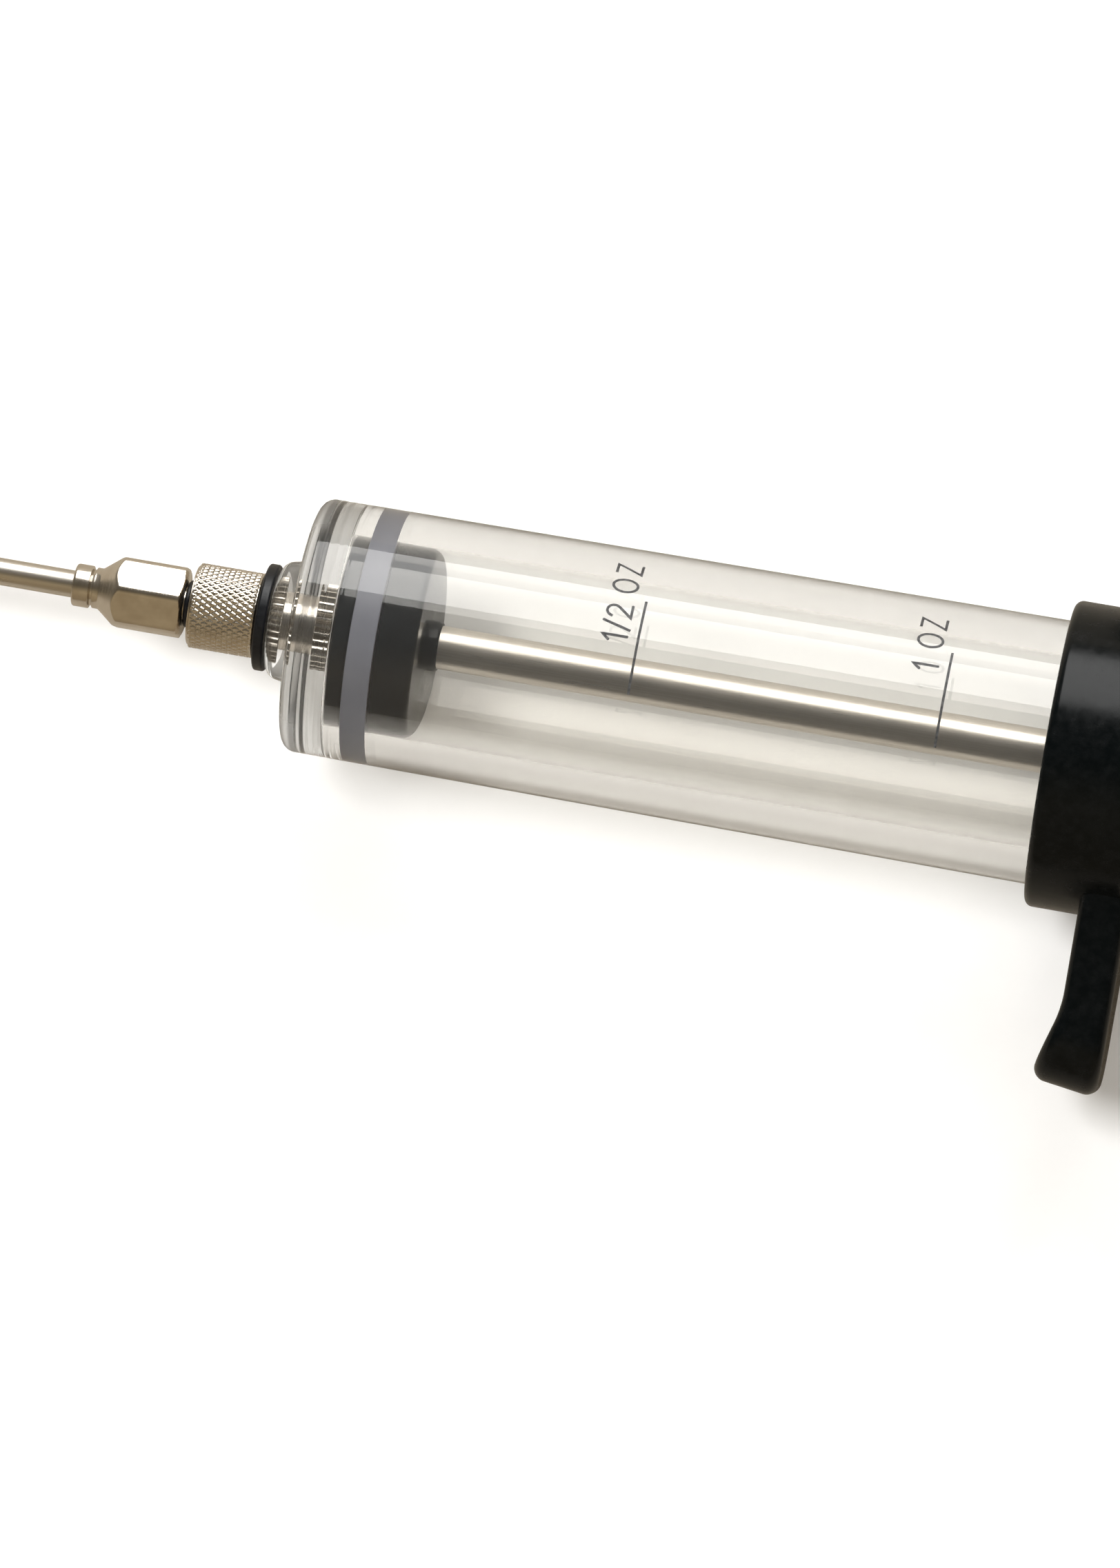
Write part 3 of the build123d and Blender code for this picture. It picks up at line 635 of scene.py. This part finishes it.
def barrel_outline():
    """From the boss at the nose, along the outside to the cap's end, and back along the bore."""
    rows = 2.1  # where the rippled rows start, behind the round front edge
    rear = PLAIN_END - 0.5
    insert_end = INSERT_END - 0.02
    outline = rounded([
        (-BOSS_HEIGHT, NOSE_HOLE),
        (-BOSS_HEIGHT, BOSS_RADIUS, BOSS_ROUND),
        (0, BOSS_ROOT_RADIUS, BOSS_ROOT_ROUND),
        (0, FRONT_RADIUS, FRONT_ROUND),
        (RIPPLE_END, barrel_radius(RIPPLE_END)),
    ])[:-1]
    outline += run(rows, RIPPLE_END, barrel_radius(rows), ROW, barrel_radius(RIPPLE_END))
    outline += [(rear, barrel_radius(rear)), (PLAIN_END, REAR_RADIUS)]
    outline += [(PLAIN_END + 0.15, CAP_THREAD.root)]
    outline += run(CAP_THREAD.start, CAP_THREAD.end, CAP_THREAD.root, CAP_ROW)
    outline += rounded([
        (CAP_THREAD.end, CAP_THREAD.root),
        (BARREL_END, CAP_THREAD.root, 0.25),
        (BARREL_END, BORE_RADIUS, 0.3),
        (FRONT_WALL, BORE_RADIUS, 0.5),
        (FRONT_WALL, STUD_HOLE, 0.2),
        (insert_end, STUD_HOLE),
        (insert_end, NOSE_HOLE),
        (-BOSS_HEIGHT, NOSE_HOLE),
    ])[1:-1]
    return outline


def barrel_wave(station, radius, angle):
    """The cap's thread, and slight moulding ripples near the front."""
    if on_thread(CAP_THREAD, station, radius):
        return helix(CAP_THREAD, station, angle)
    if RIPPLE_START < station < RIPPLE_END and radius > FRONT_RADIUS - 1:
        swell = clamp(station - RIPPLE_START) * clamp(RIPPLE_END - station)
        ripple = sin(tau * station / RIPPLE_PITCH + sin(angle * 2)) - 1
        return radius + RIPPLE * ripple * swell
    return radius


def make_barrel():
    """One solid of clear plastic, moulded round the metal insert at its nose."""
    shape = turned(barrel_outline(), barrel_wave)
    piece = make_piece("barrel_shell", *shape, "barrel", "clear_plastic", ACRYLIC, 40)
    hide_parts("barrel")


def make_insert():
    """The nose insert: two straight-knurled bands with a plain neck between them."""
    edge, inner_edge = 0.12, 0.1
    outline = [(-BOSS_HEIGHT, INSERT_HOLE)]
    outline += rounded([
        (-BOSS_HEIGHT, INSERT_RADIUS, edge),
        (INSERT_NECK_START, INSERT_RADIUS, inner_edge),
        (INSERT_NECK_START, INSERT_NECK),
    ])
    outline += rounded([
        (INSERT_NECK_END, INSERT_NECK),
        (INSERT_NECK_END, INSERT_RADIUS, inner_edge),
        (INSERT_END, INSERT_RADIUS, edge),
    ])
    outline += [(INSERT_END, INSERT_HOLE)]

    def wave(station, radius, angle):
        if radius < INSERT_RADIUS - 0.15:
            return radius
        return radius - TOOTH_DEPTH * cut(saw(angle / tau * INSERT_TEETH), TOOTH_DROP)

    shape = turned(outline, wave, INSERT_TEETH * TOOTH_STEPS)
    # The insert wears the darkened copy of the nickel: painted shade
    piece = make_piece("knurled_insert", *shape, "barrel", "nickel_plate", SHADED_NICKEL)
    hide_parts("threaded_insert")


# ---------------------------------------------------------------- volume marks


def arc(centre, across, up, start, end, count=14):
    """Points on an ellipse, with angles in degrees from the right, anticlockwise."""
    angles = [radians(start + (end - start) * i / count) for i in range(count + 1)]
    return [(centre[0] + across * cos(a), centre[1] + up * sin(a)) for a in angles]


# Each letter is its strokes, in letter heights from its lower left corner.
LETTERS = {
    "1": [[(0.0, 0.74), (0.2, 1.0), (0.2, 0.0)]],
    "/": [[(0.0, -0.04), (0.3, 1.04)]],
    "2": [arc((0.27, 0.72), 0.25, 0.28, 165, -35) + [(0.02, 0.0), (0.56, 0.0)]],
    "O": [arc((0.36, 0.5), 0.35, 0.5, 0, 360, 32)],
    "Z": [[(0.03, 1.0), (0.57, 1.0), (0.0, 0.0), (0.6, 0.0)]],
}


def finer(points, longest):
    """The same stroke with points no further apart than this, so that it follows the barrel."""
    result = [Vector(points[0])]
    for point in points[1:]:
        start = result[-1].copy()
        steps = max(1, round((Vector(point) - start).length / longest))
        result += [start.lerp(Vector(point), (i + 1) / steps) for i in range(steps)]
    return result


def stroke_edges(points, ring, width):
    """The two edge points beside each point of a stroke. Its ends stick out by half its width."""
    edges = []
    last = len(points) - 1
    for i, point in enumerate(points):
        before = points[i - 1] if i or ring else point
        after = points[(i + 1) % len(points)] if i < last or ring else point
        back = (point - before).normalized() if point != before else (after - point).normalized()
        ahead = (after - point).normalized() if point != after else back
        along = (back + ahead).normalized()
        side = Vector((-along.y, along.x)) * width / 2 / max(0.5, along.dot(ahead))
        beyond = Vector((0, 0))
        if not ring and i == 0:
            beyond = -along * width / 2
        if not ring and i == last:
            beyond = along * width / 2
        edges.append((point + side + beyond, point - side + beyond))
    return edges


def stroke_mesh(strokes, width):
    """Vertices and faces of inked strokes on the barrel. A stroke's points are (station, distance
    round the barrel from its top), in millimetres."""
    vertices = []
    faces = []
    for stroke in strokes:
        points = finer(stroke, STROKE_STEP)
        ring = (points[0] - points[-1]).length < 1e-6
        if ring:
            points = points[:-1]
        count = len(points)
        first = len(vertices)
        for pair in stroke_edges(points, ring, width):
            for edge in pair:
                radius = barrel_radius(edge.x)
                for height in (INK_THICKNESS, -INK_THICKNESS / 2):
                    vertices.append(place(edge.x, radius + height, edge.y / radius))
        for i in range(count if ring else count - 1):
            a = first + 4 * i
            b = first + 4 * ((i + 1) % count)
            faces += [(a, a + 2, b + 2, b), (a + 1, b + 1, b + 3, a + 3)]
            faces += [(a, b, b + 1, a + 1), (a + 2, a + 3, b + 3, b + 2)]
        if not ring:
            z = first + 4 * (count - 1)
            faces += [(first, first + 1, first + 3, first + 2), (z, z + 2, z + 3, z + 1)]
    return vertices, faces


def writing_strokes(letters, station):
    """The strokes of letters beside a volume line, turned to read up the barrel's side."""
    radius = barrel_radius(station)
    foot = station - LETTER_GAP
    strokes = []
    for letter, where in letters:
        middle = max(x for stroke in LETTERS[letter] for x, up in stroke) / 2
        centre = radius * radians(where)
        for stroke in LETTERS[letter]:
            strokes.append([
                (foot - up * LETTER_HEIGHT, centre + (x - middle) * LETTER_HEIGHT) for x, up in stroke
            ])
    return strokes


def make_mark(name, station, letters):
    """A volume line across the barrel, and its writing."""
    radius = barrel_radius(station)
    line = [(station, radius * radians(LINE_FROM)), (station, radius * radians(LINE_TO))]
    shape = stroke_mesh([line], LINE_WIDTH)
    make_piece(name + "_line", *shape, "barrel", "black_moulding", INK)
    shape = stroke_mesh(writing_strokes(letters, station), STROKE_WIDTH)
    make_piece(name + "_writing", *shape, "barrel", "black_moulding", INK)


# ---------------------------------------------------------------- adaptor and needle


def knurl(station, angle, start, end):
    """How deep a diamond knurl is cut, from 0 to 1. It fades out at both ends."""
    along = (station - start) / KNURL_PITCH / 2
    around = angle / tau * KNURL_TEETH
    groove = cut(1 - min(saw(along + around), saw(along - around)), KNURL_DROP)
    return groove * clamp((station - start) / ADAPTOR_CHAMFER) * clamp((end - station) / ADAPTOR_CHAMFER)


def make_adaptor():
    """The knurled nut and its threaded stud."""
    rim = ADAPTOR_RADIUS - ADAPTOR_CHAMFER
    knurl_start = ADAPTOR_FRONT + ADAPTOR_CHAMFER
    knurl_end = ADAPTOR_BACK - ADAPTOR_CHAMFER
    outline = rounded([
        (ADAPTOR_SOCKET_END, ADAPTOR_SOCKET),
        (ADAPTOR_FRONT, ADAPTOR_SOCKET, 0.15),
        (ADAPTOR_FRONT, rim, 0.1),
    ])
    outline += run(knurl_start, knurl_end, ADAPTOR_RADIUS, ROW)
    outline += [(ADAPTOR_BACK, rim), (ADAPTOR_BACK, STUD_THREAD.root)]
    outline += run(STUD_THREAD.start, STUD_THREAD.end, STUD_THREAD.root, STUD_ROW)
    outline += [(STUD_THREAD.end, ADAPTOR_HOLE), (ADAPTOR_HOLE_START, ADAPTOR_HOLE)]

    def wave(station, radius, angle):
        if knurl_start <= station <= knurl_end and radius > ADAPTOR_RADIUS - 0.01:
            return radius - KNURL_DEPTH * knurl(station, angle, knurl_start, knurl_end)
        if on_thread(STUD_THREAD, station, radius):
            return helix(STUD_THREAD, station, angle)
        return radius

    shape = turned(outline, wave, KNURL_TEETH * KNURL_STEPS)
    piece = make_piece("adaptor_body", *shape, "adaptor", "nickel_plate", NICKEL, 60)
    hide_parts("knurled_adaptor")


def hub_outline():
    """From the needle's hole, over the nose, flare, hexagon and shank, to the threaded end."""
    groove_floor = NECK_RADIUS - GROOVE_DEPTH
    reach = HEXAGON - FLARE
    rise = HEX_CORNER - NECK_RADIUS
    outline = rounded([
        (HUB_NOSE, HUB_HOLE),
        (HUB_NOSE, HUB_NOSE_RADIUS, 0.3),
        (GROOVE - 0.15, HUB_NOSE_RADIUS, 0.1),
        (GROOVE, groove_floor, 0.1),
    ])
    outline += rounded([
        (GROOVE + 0.2, groove_floor, 0.1),
        (GROOVE + 0.35, NECK_RADIUS, 0.1),
        (FLARE, NECK_RADIUS),
    ])
    for i in range(1, FLARE_STEPS + 1):
        share = i / FLARE_STEPS
        outline.append((FLARE + reach * i / FLARE_STEPS, NECK_RADIUS + rise * share**FLARE_POWER))
    outline += run(HEXAGON + ROW, HEXAGON_END - 0.5, HEX_CORNER, 0.25)
    outline += run(HEXAGON_END - 0.4, HEXAGON_END, HEX_CORNER - 0.05, ROW, HEX_CORNER - 0.9)
    outline += [(HEXAGON_END, SHANK_RADIUS), (HUB_THREAD.start - 0.1, SHANK_RADIUS)]
    outline += run(HUB_THREAD.start, HUB_THREAD.end, HUB_THREAD.root, ROW)
    outline += [(HUB_THREAD.end, HUB_HOLE)]
    return outline


def hub_wave(station, radius, angle):
    """The hub's thread, and the hexagon that cuts its flare and its widest part."""
    if on_thread(HUB_THREAD, station, radius):
        return helix(HUB_THREAD, station, angle)
    if radius > NECK_RADIUS + 0.01 and station > FLARE:
        return softer_least(radius, flats(HEX_FLATS, angle, HEX_TURN, HEX_ROUND), EDGE_BLEND)
    return radius


def make_hub():
    """The needle's hub: a grooved nose, a flare, and a hexagon with rounded edges."""
    shape = turned(hub_outline(), hub_wave, HEX_STEPS)
    piece = make_piece("hub_body", *shape, "needle", "nickel_plate", SATIN_NICKEL, 40)
    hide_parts("needle_hub")


# ---------------------------------------------------------------- piston, rod and knob


def make_front_disc():
    """The piston's front disc, countersunk for its screw."""
    outline = rounded([
        (FRONT_DISC, 2.8),
        (FRONT_DISC, DISC_RADIUS, 0.45),
        (FRONT_DISC_END, DISC_RADIUS, DISC_ROUND),
        (FRONT_DISC_END, SCREW_HOLE),
        (FRONT_DISC_END - 0.3, SCREW_HOLE),
    ])
    piece = make_piece("front_disc", *turned(outline), "plunger", "piston_black", PISTON)
    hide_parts("piston_front_disc")


def make_rear_disc():
    """The piston's rear disc, with a seat for the seal in front and a hub round the rod behind."""
    socket_end = SPIGOT_END - 0.02
    outline = rounded([
        (SEAT, SPIGOT_HOLE),
        (SEAT, SEAT_RADIUS),
        (SEAT_END, SEAT_RADIUS),
        (SEAT_END, DISC_RADIUS, DISC_ROUND),
        (REAR_DISC_END, DISC_RADIUS, 0.8),
        (REAR_DISC_END, REAR_HUB_RADIUS, 0.3),
        (REAR_HUB_END, REAR_HUB_RADIUS, 0.3),
        (REAR_HUB_END, ROD_SOCKET),
        (socket_end, ROD_SOCKET),
        (socket_end, SPIGOT_HOLE),
    ])
    piece = make_piece("rear_disc", *turned(outline), "plunger", "piston_black", PISTON)
    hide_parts("piston_rear_disc")


def make_seal():
    """The clear ring that rides between the discs and presses on the bore."""
    pressed = BORE_RADIUS + SEAL_BITE
    outline = rounded([
        (SEAL, SEAL_HOLE),
        (SEAL, pressed, SEAL_ROUND),
        (SEAL_END, pressed, SEAL_ROUND),
        (SEAL_END, SEAL_HOLE),
    ])
    piece = make_piece("seal_ring", *turned(outline), "seal", "seal_silicone", SILICONE)
    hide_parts("piston_seal")


def make_rod():
    """A drawn rod, with a spigot for the piston in front and a thread at the knob's end."""
    relief = 0.4
    outline = [(SEAT, 0), (SEAT, SPIGOT_RADIUS), (SPIGOT_END, SPIGOT_RADIUS)]
    outline += run(SPIGOT_END, ROD_THREAD.start - relief, ROD_RADIUS, 8)
    outline += run(ROD_THREAD.start, ROD_THREAD.end - relief, ROD_THREAD.root, ROW)
    outline += [(ROD_THREAD.end, ROD_THREAD.root - 0.35), (ROD_THREAD.end, 0)]

    def wave(station, radius, angle):
        if on_thread(ROD_THREAD, station, radius):
            return helix(ROD_THREAD, station, angle)
        return radius

    shape = turned(outline, wave, closed=False)
    piece = make_piece("rod_body", *shape, "plunger", "stainless_steel", STEEL, 40)
    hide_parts("plunger_rod")


def make_jam_nut():
    """The thin hexagon nut that locks the knob: a cone at each face and a plain band between them,
    all cut by the hexagon."""
    inscribed = NUT_FLATS / 2
    outline = [(NUT_FRONT, NUT_HOLE), (NUT_FRONT, inscribed - 0.1)]
    outline += run(NUT_FRONT + 0.04, NUT_FRONT + 0.5, inscribed, 0.06, NUT_CORNER + 0.15)
    outline += run(NUT_FRONT + 0.7, NUT_BACK - 0.7, NUT_CORNER + 0.2, 0.2)
    outline += run(NUT_BACK - 0.5, NUT_BACK - 0.04, NUT_CORNER + 0.15, 0.06, inscribed)
    outline += [(NUT_BACK, inscribed - 0.1), (NUT_BACK, NUT_HOLE)]

    def wave(station, radius, angle):
        if radius < inscribed:
            return radius
        return softer_least(radius, flats(NUT_FLATS, angle, 0, NUT_ROUND), EDGE_BLEND)

    shape = turned(outline, wave, HEX_STEPS)
    piece = make_piece("lock_nut", *shape, "plunger", "stainless_steel", NICKEL, 40)
    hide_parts("knob_jam_nut")


def knob_outline():
    """From the bottom of the insert's hole, over the neck, underside, rim and crown, to the end."""
    neck_end = KNOB_FRONT + 1.2
    flare_steps, flare_length, flare_rise = 12, 4.4, 7.2
    rim_length, rim_height = 2.5, 2.4
    crown_steps = 16
    outline = [(KNOB_HOLE_END, 0), (KNOB_HOLE_END, KNOB_HOLE), (KNOB_FRONT, KNOB_HOLE)]
    outline += rounded([(KNOB_FRONT, 3.7), (KNOB_FRONT, KNOB_NECK, 0.6), (neck_end, KNOB_NECK)])[1:]
    for i in range(1, flare_steps + 1):
        turn = i / flare_steps * pi / 2
        outline.append((neck_end + flare_length * sin(turn), KNOB_NECK + flare_rise * (1 - cos(turn))))
    rim = (KNOB_FRONT + 8.1, KNOB_RADIUS - rim_height)
    for degrees in range(165, 24, -12):
        turn = radians(degrees)
        outline.append((rim[0] + rim_length * cos(turn), rim[1] + rim_height * sin(turn)))
    edge, crown = outline[-1], KNOB_END - outline[-1][0]
    for i in range(1, crown_steps + 1):
        across = edge[1] * (1 - i / crown_steps)
        outline.append((KNOB_END - crown * (across / edge[1]) ** 2, across))
    return outline


def make_knob():
    """The thumb knob: a short neck, a flared underside, a round rim and a low crown."""
    shape = turned(knob_outline(), closed=False)
    piece = make_piece("knob_cap", *shape, "plunger", "black_moulding", MOULDING, 50)
    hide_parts("thumb_knob")


# ---------------------------------------------------------------- pieces that stay as CAD made them


def dress(node, material):
    """Gives a CAD node a finished material."""
    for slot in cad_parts[node].material_slots:
        slot.material = material


def dress_cad_pieces():
    """Materials for the pieces that keep their CAD shape."""
    dress("grip_cap", MOULDING)
    dress("nose_washer", RUBBER)
    dress("hub_o_ring", RUBBER)
    dress("guide_o_ring", RUBBER)
    dress("cannula", STEEL)
    dress("piston_screw", STEEL)
    dress("o_ring_retainer", STEEL)
    dress("knob_washer", NICKEL)
    dress("knob_insert", BRASS)
    dress("rod_guide", NYLON)


# ---------------------------------------------------------------- camera, light and table


def place_camera():
    """A long lens high above the table, with the axle running down to the right."""
    data = bpy.data.cameras.new("camera")
    data.lens = CAMERA_LENS
    data.clip_end = 20
    camera = bpy.data.objects.new("camera", data)
    back = (CAMERA_PLACE - CAMERA_AIM).normalized()
    right = Vector((-sin(CAMERA_ROLL), cos(CAMERA_ROLL), 0)).cross(back).normalized()
    turn = Matrix((right, back.cross(right), back)).transposed()
    camera.matrix_world = Matrix.Translation(CAMERA_PLACE) @ turn.to_4x4()
    bpy.context.scene.collection.objects.link(camera)
    bpy.context.scene.camera = camera


def area_light(name, where, width, height, power, colour=(1, 1, 1), mirrored=True):
    """A soft box that faces the injector. An unmirrored one lights it but isn't seen in it."""
    data = bpy.data.lights.new(name, "AREA")
    data.shape = "RECTANGLE"
    data.size = width
    data.size_y = height
    data.energy = power
    data.color = colour
    light = bpy.data.objects.new(name, data)
    light.location = where
    aim = LAMP_AIM - Vector(where)
    light.rotation_euler = aim.to_track_quat("-Z", "Y").to_euler()
    light.visible_glossy = mirrored
    light.visible_transmission = mirrored
    light.visible_camera = False
    bpy.context.scene.collection.objects.link(light)


def light_scene():
    """A soft box on the +Y side, one overhead that isn't mirrored, and a dim warm room to mirror."""
    side, overhead = (0.03, 0.66, 0.42), (-0.42, 0.20, 1.52)
    area_light("side_box", side, width=0.55, height=0.62, power=5.5, colour=(1.0, 0.995, 0.985))
    area_light("overhead", overhead, width=0.45, height=0.4, power=20.5, mirrored=False)
    world = bpy.data.worlds.new("room")
    bpy.context.scene.world = world
    world.use_nodes = True
    nodes, links = world.node_tree.nodes, world.node_tree.links
    places = nodes.new("ShaderNodeTexCoord")
    parts = nodes.new("ShaderNodeSeparateXYZ")
    ramp = nodes.new("ShaderNodeValToRGB")
    half = nodes.new("ShaderNodeMapRange")
    half.inputs["From Min"].default_value = -1.0
    while len(ramp.color_ramp.elements) < len(ROOM_COLOURS):
        ramp.color_ramp.elements.new(0.5)
    for element, (where, colour) in zip(ramp.color_ramp.elements, ROOM_COLOURS):
        element.position = where
        element.color = (*colour, 1)
    links.new(places.outputs["Generated"], parts.inputs[0])
    links.new(parts.outputs["Y"], half.inputs["Value"])
    links.new(half.outputs["Result"], ramp.inputs["Fac"])
    links.new(ramp.outputs["Color"], nodes["Background"].inputs["Color"])


def stage_piece(name, vertices, faces, material):
    """A mesh that is part of the surroundings, not of the injector."""
    mesh = bpy.data.meshes.new(name)
    mesh.from_pydata(vertices, [], faces)
    mesh.shade_smooth()
    mesh.materials.append(material)
    piece = bpy.data.objects.new(name, mesh)
    bpy.context.scene.collection.objects.link(piece)
    return piece


def dome_mesh():
    """Vertices and faces of a dome over the table, all but closed at its top."""
    vertices = []
    for i in range(DOME_UP + 1):
        lift = i / DOME_UP * pi / 2 * 0.999
        across, up = DOME_RADIUS * cos(lift), DOME_RADIUS * sin(lift) - DOME_DROP
        for j in range(DOME_AROUND):
            turn = tau * j / DOME_AROUND
            vertices.append((across * cos(turn), across * sin(turn), up))
    faces = []
    for i in range(DOME_UP):
        low, high = i * DOME_AROUND, (i + 1) * DOME_AROUND
        for j in range(DOME_AROUND):
            k = (j + 1) % DOME_AROUND
            faces.append((low + j, low + k, high + k, high + j))
    return vertices, faces


def dome_paper():
    """A pale glow, dimmer to rays that have been mirrored."""
    material, shader = start_material(
        "backdrop", Base_Color=(0, 0, 0, 1), Specular_IOR_Level=0.0, Emission_Color=(0.93, 0.93, 0.92, 1)
    )
    path = material.node_tree.nodes.new("ShaderNodeLightPath")
    glow = spread(material, path.outputs["Glossy Depth"], 1, 0.15, 0, 1)
    drive(material, shader, "Emission Strength", glow)
    return material


def make_stage():
    """A white table, and a pale dome that shows behind the injector and through its clear parts."""
    sides = ((-1, -1), (1, -1), (1, 1), (-1, 1))
    corners = [(x * TABLE_REACH, y * TABLE_REACH, TABLE_TOP) for x, y in sides]
    stage_piece("table", corners, [(0, 1, 2, 3)], table_paper())
    dome = stage_piece("dome", *dome_mesh(), dome_paper())
    dome.visible_glossy = False
    dome.visible_diffuse = False
    dome.visible_shadow = False


place_camera()
bpy.context.scene.view_settings.view_transform = "Standard"
light_scene()
make_stage()
make_barrel()
make_insert()
make_mark("half_ounce", HALF_OUNCE, HALF_OUNCE_LETTERS)
make_mark("one_ounce", ONE_OUNCE, ONE_OUNCE_LETTERS)
make_adaptor()
make_hub()
make_front_disc()
make_rear_disc()
make_seal()
make_rod()
make_jam_nut()
make_knob()
dress_cad_pieces()
